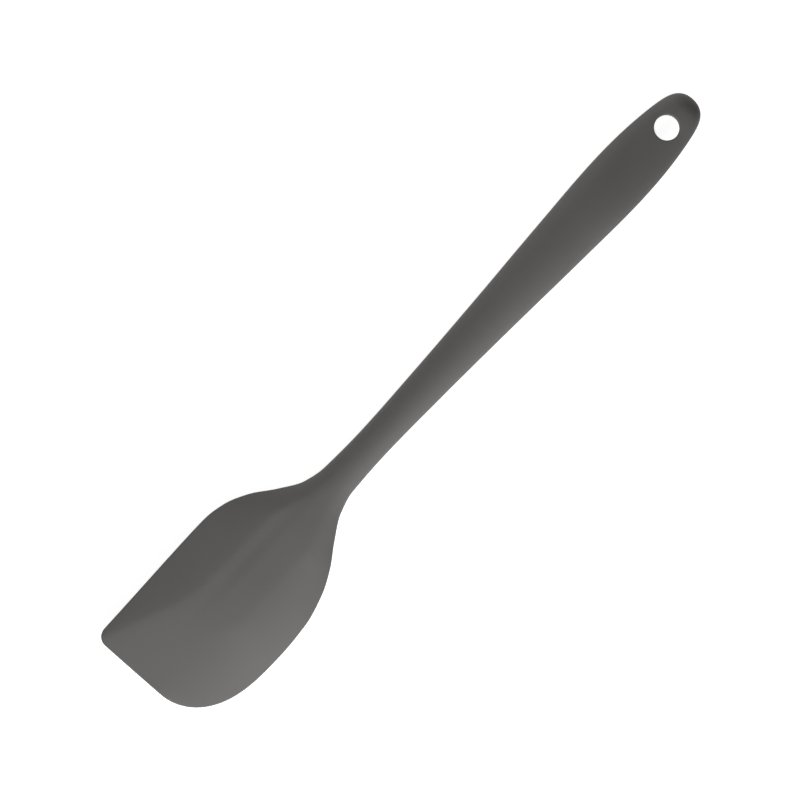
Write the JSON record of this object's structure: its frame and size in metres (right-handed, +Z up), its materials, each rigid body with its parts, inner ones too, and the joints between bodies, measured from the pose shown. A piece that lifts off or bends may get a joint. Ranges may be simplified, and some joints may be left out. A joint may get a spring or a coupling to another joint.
{
  "type": "silicone spatula",
  "caption": "One-piece silicone spatula: a soft bevelled blade with one straight and one swept side, on a moulded handle with a hang hole, over a stamped steel core.",
  "frame": {"origin": "middle of the footprint, on the surface that the spatula lies on", "axes": "+X along the part to the handle's end, -X to the blade's tip, +Y to the blade's straight side, +Z up from the lying spatula"},
  "size_m": [0.2806, 0.0524, 0.0131],
  "materials": {
    "silicone": "matte",
    "core_steel": "satin"
  },
  "bodies": {
    "root": {"silicone_body": "silicone", "steel_core": "core_steel"}
  },
  "joints": []
}
